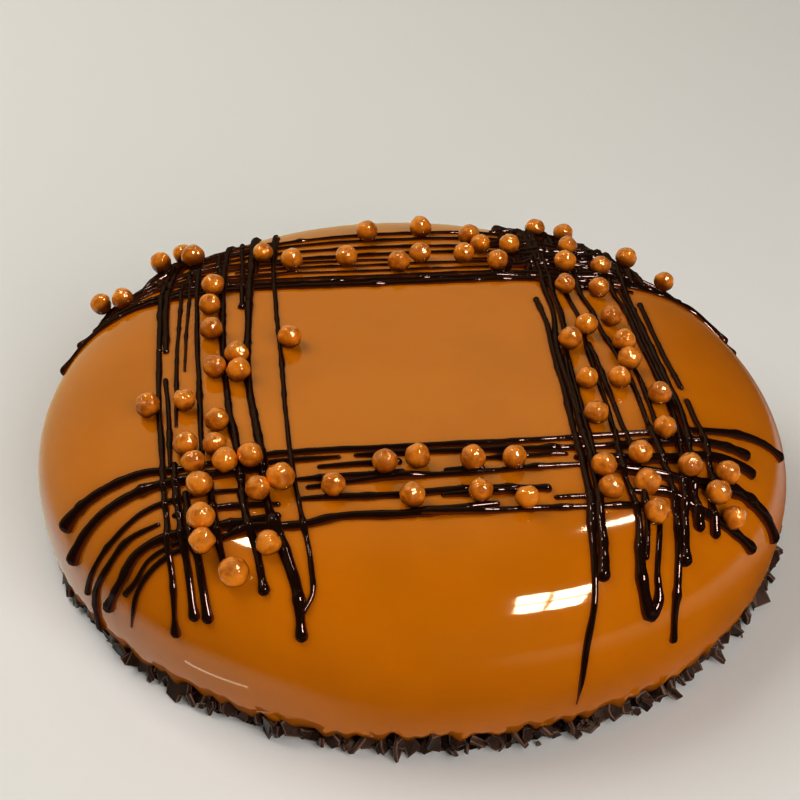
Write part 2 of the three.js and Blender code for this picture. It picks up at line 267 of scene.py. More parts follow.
class DrizzleSettings(bpy.types.PropertyGroup):
    """Sizes and colours of the chocolate drizzle."""

    turn: angle_setting("Turn", "Turn of the drizzle square about the middle", 6.5)
    step: length_setting("Step", "Distance between two sections of a strand", 0.8)
    rise: number_setting("Rise", "Height of a strand over its width", 0.56)
    sink: number_setting("Sink", "Depth of a strand in the glaze over its width", 0.25)
    sway: length_setting("Sway", "How far a strand wavers to its sides", 0.17)
    heap: length_setting("Heap", "Most that a strand climbs over others", 1.6)
    seed: count_setting("Seed", "Seed of the strands' unevenness", 4)
    dark: colour_setting("Dark", "Colour of thick chocolate", (0.008, 0.0024, 0.001))
    thin: colour_setting("Thin", "Colour of chocolate at a strand's thin rim", (0.1, 0.017, 0.003))


class PearlSettings(bpy.types.PropertyGroup):
    """Sizes and colours of the crisp pearls."""

    diameter: length_setting("Diameter", "Mean width of a pearl", 6.05)
    spread: number_setting("Spread", "Share by which the widths differ", 0.06)
    seat: number_setting("Seat", "Height of a pearl's middle over its width", 0.42)
    seed: count_setting("Seed", "Seed of the pearls' dents", 9)
    toffee: colour_setting("Toffee", "Main colour of the pearls", (0.79, 0.212, 0.008))
    # Gold dust, also laid on the upper side as a painted sheen
    dust: colour_setting("Dust", "Colour of the gold dust on the pearls", (0.88, 0.37, 0.08))
    # Rust is also the painted shade in the dents
    rust_and_shade: colour_setting("Rust", "Colour where the coating is thin", (0.42, 0.09, 0.002))
    # Painted shade on a pearl's lower side
    lower_shade: colour_setting("Burnt", "Colour of a pearl's lower side", (0.085, 0.015, 0.001))


class ShardSettings(bpy.types.PropertyGroup):
    """Sizes and colours of the chocolate shards round the foot."""

    count: count_setting("Count", "Number of shards", 260)
    crumbs: count_setting("Crumbs", "Number of small crumbs", 220)
    crumb_size: number_setting("Crumb size", "Size of a crumb over that of a shard", 0.33)
    shortest: length_setting("Shortest", "Smallest half width of a shard", 2.1)
    longest: length_setting("Longest", "Largest half width of a shard", 5.9)
    thinnest: length_setting("Thinnest", "Smallest thickness of a shard", 0.5)
    thickest: length_setting("Thickest", "Largest thickness of a shard", 1.8)
    ring: length_setting("Ring radius", "Radius of the ring of shards", 96.9)
    foot: length_setting("Foot radius", "Radius of the crumb wall behind the shards", 96.0)
    seed: count_setting("Seed", "Seed of the shards' shapes", 31)
    # Also the crumb wall's colour, painted shade in the gaps between shards
    dark: colour_setting("Dark", "Colour of a fresh break", (0.005, 0.0014, 0.0006))
    bloom: colour_setting("Bloom", "Colour of a dusty face", (0.042, 0.017, 0.011))
    rim: colour_setting("Rim", "Colour of a worn rim", (0.15, 0.075, 0.05))


class StageSettings(bpy.types.PropertyGroup):
    """Camera, floor and the glow round the cake."""

    camera_place: place_setting("Camera", "Place of the camera", (0, -0.3719, 0.2864))
    camera_aim: place_setting("Aim", "Point in the middle of the picture", (-0.0038, 0.0164, 0.02))
    camera_roll: angle_setting("Roll", "Turn of the camera about its own axis", 1.63)
    lens: number_setting("Lens", "Focal length on a 36 mm frame", 76.0)
    floor_radius: length_setting("Floor", "Radius of the floor", 1400)
    fade_start: length_setting("Fade start", "Distance at which the floor starts to fade out", 420)
    fade_end: length_setting("Fade end", "Distance at which the floor has faded out", 1000)
    floor_colour: colour_setting("Floor colour", "Colour of the plain floor", (0.84, 0.83, 0.81))
    backdrop_colour: colour_setting("Backdrop", "Colour behind the floor", (0.41, 0.4, 0.38))
    glow: number_setting("Glow", "Strength of the glow round the cake", 1.5)
    dim_colour: colour_setting("Dim glow", "Colour of the darkest sides", (0.04, 0.032, 0.024))
    back_colour: colour_setting("Back glow", "Colour at the back and the left", (0.9, 0.85, 0.48))
    low_colour: colour_setting("Low glow", "Colour from below and on the right", (0.76, 0.97, 1.0))


class CakeSettings(bpy.types.PropertyGroup):
    """All settings of the cake."""

    glaze: PointerProperty(type=GlazeSettings)
    drizzle: PointerProperty(type=DrizzleSettings)
    pearls: PointerProperty(type=PearlSettings)
    shards: PointerProperty(type=ShardSettings)
    stage: PointerProperty(type=StageSettings)


class Signal:
    """A node's output that arithmetic can be written with."""

    def __init__(self, paint, socket):
        self.paint = paint
        self.socket = socket

    def maths(self, operation, first, second):
        """Adds a Math node on two values."""
        return self.paint.node("ShaderNodeMath", {"operation": operation}, {0: first, 1: second})

    def __add__(self, other):
        return self.maths("ADD", self, other)

    def __radd__(self, other):
        return self.maths("ADD", other, self)

    def __sub__(self, other):
        return self.maths("SUBTRACT", self, other)

    def __rsub__(self, other):
        return self.maths("SUBTRACT", other, self)

    def __mul__(self, other):
        return self.maths("MULTIPLY", self, other)

    def __rmul__(self, other):
        return self.maths("MULTIPLY", other, self)


class Paint:
    """A node tree, with one method that adds any node to it and short names for those used often."""

    def __init__(self, tree):
        self.tree = tree
        tree.nodes.clear()

    def node(self, kind, settings=None, sockets=None, output=0):
        """Adds a node, sets its settings, then fills its sockets, and returns one output."""
        made = self.tree.nodes.new(kind)
        for name, value in (settings or {}).items():
            setattr(made, name, value)
        for name, value in (sockets or {}).items():
            if isinstance(value, Signal):
                self.tree.links.new(value.socket, made.inputs[name])
            else:
                made.inputs[name].default_value = value
        return Signal(self, made.outputs[output])

    def place(self):
        """The point on the piece, in metres."""
        return self.node("ShaderNodeTexCoord", output="Object")

    def axis(self, vector, name):
        """A vector's X, Y or Z."""
        return self.node("ShaderNodeSeparateXYZ", None, {0: vector}, name)

    def stored(self, name):
        """A value that the mesh keeps for each point."""
        return self.node("ShaderNodeAttribute", {"attribute_name": name}, None, "Fac")

    def noise(self, scale, detail=2.0, roughness=0.5):
        """Soft noise from 0 to 1, with about this many waves to the metre."""
        sockets = {"Vector": self.place(), "Scale": scale, "Detail": detail, "Roughness": roughness}
        return self.node("ShaderNodeTexNoise", None, sockets, "Fac")

    def cells(self, scale, output):
        """One output of a pattern of cells, with about this many to the metre."""
        sockets = {"Vector": self.place(), "Scale": scale}
        return self.node("ShaderNodeTexVoronoi", None, sockets, output)

    def ramp(self, value, low, high):
        """0 below low, 1 above high, smooth between."""
        settings = {"interpolation_type": "SMOOTHSTEP"}
        sockets = {"Value": value, "From Min": low, "From Max": high}
        return self.node("ShaderNodeMapRange", settings, sockets)

    def blend(self, factor, first, second):
        """A colour between two others."""
        settings = {"data_type": "RGBA"}
        colours = [c if isinstance(c, Signal) else (*c, 1) for c in (first, second)]
        return self.node("ShaderNodeMix", settings, {0: factor, 6: colours[0], 7: colours[1]}, 2)

    def bump(self, height, distance):
        """A normal that follows a height, in metres over the given distance."""
        return self.node("ShaderNodeBump", None, {"Height": height, "Distance": distance})

    def surface(self, sockets):
        """A Principled surface."""
        return self.node("ShaderNodeBsdfPrincipled", None, sockets)

    def layered(self, share, body, shine):
        """A surface with a share of another over it."""
        return self.node("ShaderNodeMixShader", None, {0: share, 1: body, 2: shine})

    def finish(self, shader, kind="ShaderNodeOutputMaterial"):
        """Ends the tree in a shader."""
        end = self.tree.nodes.new(kind)
        self.tree.links.new(shader.socket, end.inputs["Surface"])


def new_paint(name):
    """A new material and its paint."""
    material = bpy.data.materials.new(name)
    material.use_nodes = True
    return material, Paint(material.node_tree)


def crust_and_shadow_patches(paint, rim):
    """Blocky patches along the lower edge, where the glaze has set on the shards and painted shade is laid.
    """
    chance = paint.node("ShaderNodeSeparateColor", None, {0: paint.cells(170, "Color")}, "Red")
    reach = rim + chance * 0.75 + paint.noise(400, 2) * 0.3
    return paint.ramp(reach, 0.86, 0.92) * paint.ramp(rim, 0.02, 0.2)


def glaze_paint(settings):
    """Clear caramel glaze: clouded colour, thin amber lip, a side darkened towards the bottom as painted
    shade, painted shadow round the strands, crust patches deepened by painted shade at the lower edge, faint
    pits and a slow wobble.
    """
    material, paint = new_paint("caramel_glaze")
    height = paint.axis(paint.place(), "Z")
    lip = 1 - paint.ramp(height, 4.5 * MM, 8.5 * MM)
    # The side darkens towards the bottom: painted shade of the lower side, laid in the amber colour
    side = 1 - paint.ramp(height, 12 * MM, 38 * MM)
    cloud = paint.ramp(paint.noise(26, 3), 0.35, 0.7)
    shares = {0: lip * 0.9, 1: side * 0.6 + cloud * 0.25}
    thin = paint.node("ShaderNodeMath", {"operation": "MAXIMUM"}, shares)
    rim = paint.stored("rim")
    crust_and_shadow = crust_and_shadow_patches(paint, rim)
    tint = paint.blend(thin, settings.caramel, settings.amber)
    # Crust patches darken more towards the lower edge: set glaze in part, painted shade of the shards in part
    tint = paint.blend(crust_and_shadow * (rim * 0.6 + 0.25), tint, settings.crust_and_shadow)
    pits = 1 - paint.ramp(paint.cells(240, "Distance"), 0.03, 0.09)
    wobble = paint.noise(30, 1) + pits * -0.02
    sugar = {
        # The painted shadow round the strands darkens the base colour
        "Base Color": paint.blend(paint.stored("strand_shadow") * 0.45, tint, settings.strand_shadow),
        "Subsurface Weight": 0.12,
        "Subsurface Radius": (0.6, 0.2, 0.03),
        "Subsurface Scale": 3 * MM,
    }
    body = paint.surface({**sugar, "Specular IOR Level": 0.0})
    shine = paint.surface({
        **sugar,
        "Roughness": 0.035 + paint.noise(60, 3) * 0.05,
        "Normal": paint.bump(wobble, 0.5 * MM),
        "IOR": 1.62,
        "Specular Tint": (1, 0.82, 0.46, 1),
    })
    paint.finish(paint.layered(0.5 - crust_and_shadow * 0.45, body, shine))
    return material


def drizzle_paint(settings):
    """Set dark chocolate with a faint sheen, redder where it thins out at the rim of a strand."""
    material, paint = new_paint("dark_chocolate")
    thick = paint.ramp(paint.stored("depth") + paint.noise(900, 2) * 0.25, 0.2, 0.9)
    body = paint.surface({
        "Base Color": paint.blend(thick, settings.thin, settings.dark),
        "Roughness": 0.6,
        "Specular IOR Level": 0.0,
    })
    sheen = paint.surface({
        "Base Color": (1, 0.62, 0.56, 1),
        "Roughness": 0.045 + paint.noise(400, 2) * 0.06,
        "Metallic": 1.0,
        "Normal": paint.bump(paint.noise(300, 2), 0.12 * MM),
    })
    paint.finish(paint.layered(0.016, body, sheen))
    return material


def pearl_paint(settings):
    """Glossy caramel coating: rusty patches, painted shade in the hollows, gold dust on the bumps and as a
    painted sheen on top, painted shade low down.
    """
    material, paint = new_paint("pearl_lustre")
    low = paint.stored("low")
    patches = paint.ramp(paint.noise(360, 3) + paint.stored("tone") * 0.16, 0.46, 0.74)
    wrinkles = paint.noise(520, 2)
    # Dust only on the upper side: a painted sheen that lightens each pearl's top
    above = 1 - paint.ramp(low, 0.02, 0.34)
    tint = paint.blend(patches, settings.toffee, settings.rust_and_shade)
    tint = paint.blend(above * paint.ramp(wrinkles, 0.36, 0.64) * 0.32, tint, settings.dust)
    # Painted shade in the dents, in the rust colour
    tint = paint.blend(paint.ramp(paint.stored("dent"), 0.03, 0.14) * 0.8, tint, settings.rust_and_shade)
    paint.finish(paint.surface({
        # Painted shade darkens each pearl towards its lower side
        "Base Color": paint.blend(paint.ramp(low, 0.29, 0.76), tint, settings.lower_shade),
        "Roughness": 0.11 + patches * 0.07,
        "Normal": paint.bump(wrinkles, 0.4 * MM),
        "Metallic": 0.1,
        "IOR": 1.47,
        "Specular Tint": (1, 0.84, 0.6, 1),
    }))
    return material


def shard_paint(settings):
    """Broken chocolate: dusty faces, dark fresh breaks, worn rims and a fine grain; the crumb wall takes the
    dark colour as painted shade.
    """
    material, paint = new_paint("broken_chocolate")
    dust = paint.ramp(paint.noise(380, 4, 0.6), 0.3, 0.75)
    worn = paint.ramp(paint.stored("rim") + dust * 0.3, 0.55, 1.15)
    face = paint.blend(paint.stored("tone") * 0.55 + dust * 0.45, settings.dark, settings.bloom)
    grain = paint.noise(2200, 3) * 0.4 + paint.noise(600, 3) * 0.6
    paint.finish(paint.surface({
        "Base Color": paint.blend(worn, face, settings.rim),
        "Roughness": 0.48 + dust * 0.25,
        "Normal": paint.bump(grain, 0.25 * MM),
        "Specular IOR Level": 0.22,
        "Specular Tint": (1, 0.66, 0.48, 1),
    }))
    return material


def floor_paint(settings):
    """Plain pale floor, hardly clouded, that fades out far from the cake."""
    material, paint = new_paint("pale_floor")
    far = paint.node("ShaderNodeVectorMath", {"operation": "LENGTH"}, {0: paint.place()}, "Value")
    pale = tuple(settings.floor_colour)
    clouded = tuple(part * 0.8 for part in pale)
    paint.finish(paint.surface({
        "Base Color": paint.blend(paint.noise(3, 2) * 0.06, pale, clouded),
        "Roughness": 0.55,
        "Alpha": 1 - paint.ramp(far, settings.fade_start, settings.fade_end),
    }))
    return material


def headings(count):
    """Headings spread evenly round a full turn."""
    return np.linspace(0, 2 * math.pi, count, endpoint=False)


def round_points(radius, heading, height):
    """Points at a radius, a heading and a height."""
    return np.stack([radius * np.cos(heading), radius * np.sin(heading), height], -1)


def unit(vectors):
    """The same directions with a length of one."""
    return vectors / np.linalg.norm(vectors, axis=-1, keepdims=True)


def running(steps):
    """The way covered before each step and after the last."""
    return np.concatenate([[0], np.cumsum(steps)])


class GlazeForm:
    """The glaze as a turned form, measured over its surface from the middle of the top."""

    fine = 1500
    calm = 40 * MM
    reach = 0.4 * MM

    def __init__(self, settings, turn):
        self.swell = settings.swell
        self.turn = turn
        radius = settings.radius * np.sin(np.linspace(0, math.pi / 2, self.fine))
        dome = np.sqrt(np.clip(1 - (radius / settings.radius) ** settings.fullness, 0, 1))
        angle = np.linspace(0, math.pi / 2, self.fine)[1:]
        under = settings.edge_radius + (settings.radius - settings.edge_radius) * np.cos(angle)
        depth = settings.waist - settings.edge_height
        self.radii = np.concatenate([radius, under])
        self.heights = np.concatenate([
            settings.waist + (settings.height - settings.waist) * dome,
            settings.waist - depth * np.sin(angle),
        ])
        self.distances = running(np.hypot(np.diff(self.radii), np.diff(self.heights)))
        self.edge = self.distances[-1]

    def wave(self, distance, heading):
        """Two slow waves of the poured glaze, level in the middle of the top."""
        broad = np.sin(2 * heading + 0.7) * np.sin(distance * 42 + 0.4)
        slanted = np.sin(3 * heading - distance * 31) * np.sin(distance * 20)
        return (broad + 0.6 * slanted) * np.minimum(distance / self.calm, 1)

    def profile(self, distance):
        """Radius and height of the even form at a distance over its surface."""
        return [np.interp(distance, self.distances, column) for column in (self.radii, self.heights)]

    def at(self, distance, heading):
        """Points on the glaze and the directions straight out of it."""
        near = self.profile(np.maximum(distance - self.reach, 0))
        far = self.profile(np.minimum(distance + self.reach, self.edge))
        out, fall = far[0] - near[0], far[1] - near[1]
        size = np.hypot(out, fall)
        lean, up = -fall / size, out / size
        lift = self.swell * self.wave(distance, heading)
        radius, height = self.profile(distance)
        points = round_points(radius + lift * lean, heading, height + lift * up)
        return points, round_points(lean, heading, up)

    def on(self, places):
        """The same, for places (across, away) in metres on the turned drizzle square."""
        across, away = places[..., 0], places[..., 1]
        return self.at(np.hypot(across, away), np.arctan2(away, across) + self.turn)


def wander(rng, values, waves, share=0.6):
    """Smooth seeded unevenness of about -1 to 1 along values, from a few sine waves."""
    total = np.zeros_like(values)
    weight = 1.0
    for wave in waves:
        total += weight * np.sin(values * wave + rng.uniform(0, 2 * math.pi))
        weight *= share
    return total / sum(share ** i for i in range(len(waves)))


def between(t, start, end, first, last):
    """The point at t on the straight way from first, at start, to last, at end."""
    return ((end - t) * first + (t - start) * last) / (end - start)


def smooth_route(places, step, start_cap, end_cap):
    """Places and widths along a smooth curve, in steps that get fine in the rounded ends."""
    places = np.asarray(places, float) * MM
    stops = np.vstack([2 * places[0] - places[1], places, 2 * places[-1] - places[-2]])
    spans = np.linalg.norm(np.diff(stops[:, :2], axis=0), axis=1)
    marks = running(np.sqrt(spans))
    curve = []
    for i in range(1, len(stops) - 2):
        t = np.linspace(marks[i], marks[i + 1], 60)[:, None]
        sides = [between(t, marks[j], marks[j + 1], stops[j], stops[j + 1]) for j in (i - 1, i, i + 1)]
        bends = [between(t, marks[i + n - 1], marks[i + n + 1], sides[n], sides[n + 1]) for n in (0, 1)]
        curve.append(between(t, marks[i], marks[i + 1], *bends))
    curve = np.vstack(curve)
    steps = np.linalg.norm(np.diff(curve[:, :2], axis=0), axis=1)
    lengths = running(steps)
    total = lengths[-1]
    arc = 1 - np.cos(np.linspace(0.2, math.pi / 2, 5))
    count = max(int((total - start_cap - end_cap) / step), 3)
    middle = np.linspace(start_cap, total - end_cap, count)[1:-1]
    distance = np.concatenate([start_cap * arc, middle, (total - end_cap * arc)[::-1]])
    across, away, width = (np.interp(distance, lengths, column) for column in curve.T)
    return np.stack([across, away], -1), width, distance, total


def placed(name, data):
    """A new object in the scene."""
    made = bpy.data.objects.new(name, data)
    bpy.context.scene.collection.objects.link(made)
    return made


def mesh_piece(name, points, faces, material, values):
    """A smooth mesh piece of the cake that rides on its body and stands for its solid."""
    mesh = bpy.data.meshes.new(name)
    mesh.from_pydata(points.tolist(), [], faces)
    for key, column in values.items():
        stored = mesh.attributes.new(key, "FLOAT", "POINT")
        stored.data.foreach_set("value", np.asarray(column, np.float32))
    mesh.polygons.foreach_set("use_smooth", [True] * len(mesh.polygons))
    mesh.materials.append(material)
    if mesh.validate():
        raise RuntimeError(f"{name} has faces that are not valid")
    piece = placed(name, mesh)
    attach(piece, BODY)
    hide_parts(NODE)
    return piece


def band_faces(rows, columns):
    """Quads between the rows of a grid that closes round."""
    faces = []
    for i in range(rows - 1):
        low, high = i * columns, (i + 1) * columns
        for j in range(columns):
            k = (j + 1) % columns
            faces.append((low + j, high + j, high + k, low + k))
    return faces


def turned_faces(rows, columns):
    """Faces of a closed turned grid of rows by columns, with a middle point at each end."""
    first, last = rows * columns, rows * columns + 1
    end = (rows - 1) * columns
    faces = []
    for j in range(columns):
        k = (j + 1) % columns
        faces.append((first, j, k))
        faces.append((last, end + k, end + j))
    return faces + band_faces(rows, columns)


class CAKE_OT_glaze(bpy.types.Operator):
    """Make the glazed dome with its ragged lower edge"""

    bl_idname = "cake.glaze"
    bl_label = "Glaze"

    columns = 700
    top_rows = 102
    side_rows = 24
    first_ring = 2 * MM
    skirt = 12 * MM
    lip = 1.8 * MM
    lip_rows = 5
    inner_share = 0.955
    inner_rise = 2 * MM

    def edge_hang(self, settings, heading):
        """How far the lower edge hangs past its mean line."""
        rng = np.random.default_rng(settings.ragged_seed)
        slow = wander(rng, heading, (7, 13, 22))
        quick = wander(rng, heading, (61, 97, 140), 0.8)
        return settings.ragged * (0.45 * slow + 0.75 * quick)

    def edge_flare(self, settings, heading):
        """How far the lower edge stands out where it has run over a shard."""
        rng = np.random.default_rng(settings.flare_seed)
        return settings.flare * np.clip(wander(rng, heading, (46, 83, 131), 0.8), 0, 1)

    def skirt_rings(self, settings, form, heading):
        """The lowest rings of the glaze, more ragged the lower they are, and how near the edge each is."""
        hang = self.edge_hang(settings, heading)
        flare = self.edge_flare(settings, heading)
        rings, rims = [], []
        for part in np.linspace(0, 1, self.side_rows)[1:]:
            distance = form.edge - self.skirt * (1 - part)
            points, _ = form.at(np.full_like(heading, distance), heading)
            points[:, 2] -= hang * part ** 3
            points[:, :2] *= (1 + flare * part ** 9 / settings.edge_radius)[:, None]
            rings.append(points)
            # Nearness to the edge, which deepens the painted shade in the crust patches
            rims.append(max(0.0, 1 - (form.edge - distance) / settings.crust_and_shadow_height))
        return rings, rims

    def lip_rings(self, edge):
        """The edge rolls under and runs back in, so the glaze has a thickness."""
        rings = []
        radius = np.hypot(edge[:, 0], edge[:, 1])
        for i in range(1, self.lip_rows + 1):
            angle = math.pi * i / self.lip_rows
            inward = self.lip / 2 * (1 - math.cos(angle))
            drop = self.lip / 2 * math.sin(angle)
            ring = edge * ((radius - inward) / radius)[:, None]
            ring[:, 2] = edge[:, 2] - drop
            rings.append(ring)
        inner = edge * self.inner_share
        inner[:, 2] = edge[:, 2] + self.inner_rise
        rings.append(inner)
        return rings

    def strand_shadow(self, points, drizzle, shadow_reach):
        """How much painted shadow each point gets from the nearest strand."""
        tree = KDTree(len(drizzle.feet))
        for index, foot in enumerate(drizzle.feet):
            tree.insert(foot, index)
        tree.balance()
        nearest = [tree.find(point)[1:] for point in points]
        gaps = np.array([gap - drizzle.widths[index] / 2 for index, gap in nearest])
        return np.exp(-np.maximum(gaps, 0) / shadow_reach)

    def execute(self, context):
        settings = context.scene.cake.glaze
        drizzle = laid_drizzle(context)
        form = drizzle.form
        heading = headings(self.columns)
        levels = np.linspace(self.first_ring, form.edge - self.skirt, self.top_rows)
        rings = [form.at(np.full_like(heading, level), heading)[0] for level in levels]
        skirt, rims = self.skirt_rings(settings, form, heading)
        rims = [0.0] * len(rings) + rims
        rings += skirt
        rings += self.lip_rings(rings[-1])
        rims += [1.0] * (len(rings) - len(rims))
        top, _ = form.at(np.zeros(1), np.zeros(1))
        floor = np.array([[0, 0, rings[-1][:, 2].mean()]])
        points = np.vstack(rings + [top, floor])
        faces = turned_faces(len(rings), self.columns)
        values = {
            # How much painted shadow round the strands each point gets
            "strand_shadow": self.strand_shadow(points, drizzle, settings.shadow_reach),
            "rim": np.append(np.repeat(rims, self.columns), (0, 1)),
        }
        mesh_piece("glaze_dome", points, faces, glaze_paint(settings), values)
        return {"FINISHED"}


class Drizzle:
    """All strands of drizzle as arrays, laid one over another."""

    sides = 10
    tip_length = 9 * MM
    lump_spacing = 13 * MM
    dark_width = 1.3 * MM
    touch_share = 0.62
    climb_share = 0.75
    climb_steps = 9
    web_share = 0.2

    def __init__(self, form, settings):
        self.form = form
        self.settings = settings
        self.rng = np.random.default_rng(settings.seed)
        self.feet = np.zeros((0, 3))
        self.widths = np.zeros(0)
        self.rises = np.zeros(0)
        self.points = []
        self.faces = []
        self.depths = []

    def swayed(self, places, distance):
        """The places of a strand, wavering a little to both sides."""
        along = unit(np.gradient(places, axis=0))
        sway = self.settings.sway * wander(self.rng, distance, (70, 190, 430))
        return places + np.stack([-along[:, 1], along[:, 0]], -1) * sway[:, None]

    def width_along(self, distance, total, width, start, end):
        """A strand's width: uneven, swelling to its end drops or thinning to its tips, and rounded."""
        waver = 0.12 * wander(self.rng, distance, (180, 420, 900))
        uneven = width * (1 + waver + self.lumps(distance, total))
        ends = ((start, distance), (end, total - distance))
        for size, gap in ends:
            run = np.where(size > width, 1.5 * size, self.tip_length)
            share = np.clip(1 - gap / run, 0, 1)
            uneven = uneven + (size - uneven) * share ** 2 * (3 - 2 * share)
        for size, gap in ends:
            uneven = uneven * np.sqrt(1 - (1 - np.minimum(gap / (size / 2), 1)) ** 2)
        return uneven

    def lumps(self, distance, total):
        """Seeded thick spots along a strand, as a share of its width."""
        share = np.zeros_like(distance)
        for _ in range(self.rng.poisson(total / self.lump_spacing)):
            middle = self.rng.uniform(0, total)
            reach = self.rng.uniform(0.8, 2.2) * MM
            share += self.rng.uniform(0.08, 0.3) * np.exp(-((distance - middle) / reach) ** 2)
        return np.minimum(share, 0.5)

    def crossed(self, points, widths):
        """How far a strand climbs over those already there, and how close it comes to them, 0 to 1."""
        lift, near = np.zeros((2, len(points)))
        if len(self.feet):
            for i, point in enumerate(points):
                gap = np.linalg.norm(self.feet - point, axis=1)
                share = np.clip(1 - gap / (self.touch_share * (widths[i] + self.widths)), 0, 1)
                lift[i] = (share ** 0.7 * self.rises).max()
                near[i] = share.max()
        soft = np.hanning(self.climb_steps)
        lift = np.convolve(lift, soft / soft.sum(), "same") * self.climb_share
        return np.minimum(lift, self.settings.heap), near

    def lay(self, width, start, end, route):
        """Adds one strand."""
        start, end = start * MM, end * MM
        route = [(*place[:2], place[2] if len(place) > 2 else width) for place in route]
        places, width, distance, total = smooth_route(route, self.settings.step, start / 2, end / 2)
        points, normals = self.form.on(self.swayed(places, distance))
        widths = self.width_along(distance, total, width, start, end)
        lift, near = self.crossed(points, widths)
        widths = widths * (1 + self.web_share * near)
        self.add_tube(points, normals, widths, lift)
        self.feet = np.vstack([self.feet, points])
        self.widths = np.concatenate([self.widths, widths])
        self.rises = np.concatenate([self.rises, lift + widths * self.settings.rise])

    def add_tube(self, points, normals, widths, lift):
        """Adds a strand's sections, each a ridge that is sunk a little into the glaze."""
        settings = self.settings
        side = np.cross(unit(np.gradient(points, axis=0)), normals)
        angle = headings(self.sides)
        across, above = np.cos(angle), np.sin(angle)
        tall = np.where(above > 0, settings.rise * above, 2 * settings.sink * above)
        rings = (
            points[:, None]
            + side[:, None] * (widths[:, None] / 2 * across)[..., None]
            + normals[:, None] * (widths[:, None] * tall + lift[:, None])[..., None]
        )
        depth = np.outer(np.minimum(widths / self.dark_width, 1.2), np.clip(above, 0, 1))
        self.add_faces(sum(len(part) for part in self.points), len(points))
        self.points.append(rings.reshape(-1, 3))
        self.depths.append(depth.ravel())

    def add_faces(self, base, rings):
        """Adds a strand's two ends and the quads between its sections."""
        count = self.sides
        self.faces.append(tuple(base + j for j in reversed(range(count))))
        self.faces.append(tuple(base + (rings - 1) * count + j for j in range(count)))
        for near, far, far_next, near_next in band_faces(rings, count):
            self.faces.append((base + near, base + near_next, base + far_next, base + far))


def mat_strands(rng, left, right, near, far, away_count, away_width, across_count, across_width):
    """Seeded strands of a tangled mat, some running away and some across, in mm."""
    stray = 1.5
    strands = []
    for number in range(away_count):
        width = away_width * rng.uniform(0.7, 1.3)
        column = left + (right - left) * (number + rng.uniform()) / away_count
        start = near + (far - near) * rng.uniform(0, 0.25)
        end = far - (far - near) * rng.uniform(0, 0.3)
        middle = (start + end) / 2
        route = [(column + rng.normal() * stray, level) for level in (start, middle, end)]
        strands.append((width, width * 0.7, width * rng.uniform(0.8, 1.7), route))
    for number in range(across_count):
        width = across_width * rng.uniform(0.7, 1.3)
        row = near + (far * 0.9 - near) * (number + rng.uniform()) / across_count
        start = left + (right - left) * rng.uniform(-0.1, 0.25)
        end = right - (right - left) * rng.uniform(-0.1, 0.25)
        middle = (start + end) / 2
        route = [(level, row + rng.normal() * stray) for level in (start, middle, end)]
        strands.append((width, width * 0.8, width * 0.8, route))
    return strands


def laid_drizzle(context):
    """The drizzle of all four bands, in the order in which it was poured."""
    cake = context.scene.cake
    drizzle = Drizzle(GlazeForm(cake.glaze, cake.drizzle.turn), cake.drizzle)
    mats = [mat_strands(drizzle.rng, *mat) for mat in CORNER_MATS]
    for band in (BACK_BAND, *mats, FRONT_BAND, LEFT_BAND, RIGHT_BAND):
        for strand in band:
            drizzle.lay(*strand)
    return drizzle


class CAKE_OT_drizzle(bpy.types.Operator):
    """Pour the chocolate drizzle over the glaze"""

    bl_idname = "cake.drizzle"
    bl_label = "Drizzle"

    def execute(self, context):
        drizzle = laid_drizzle(context)
        points = np.vstack(drizzle.points)
        values = {"depth": np.concatenate(drizzle.depths)}
        material = drizzle_paint(context.scene.cake.drizzle)
        mesh_piece("chocolate_drizzle", points, drizzle.faces, material, values)
        return {"FINISHED"}


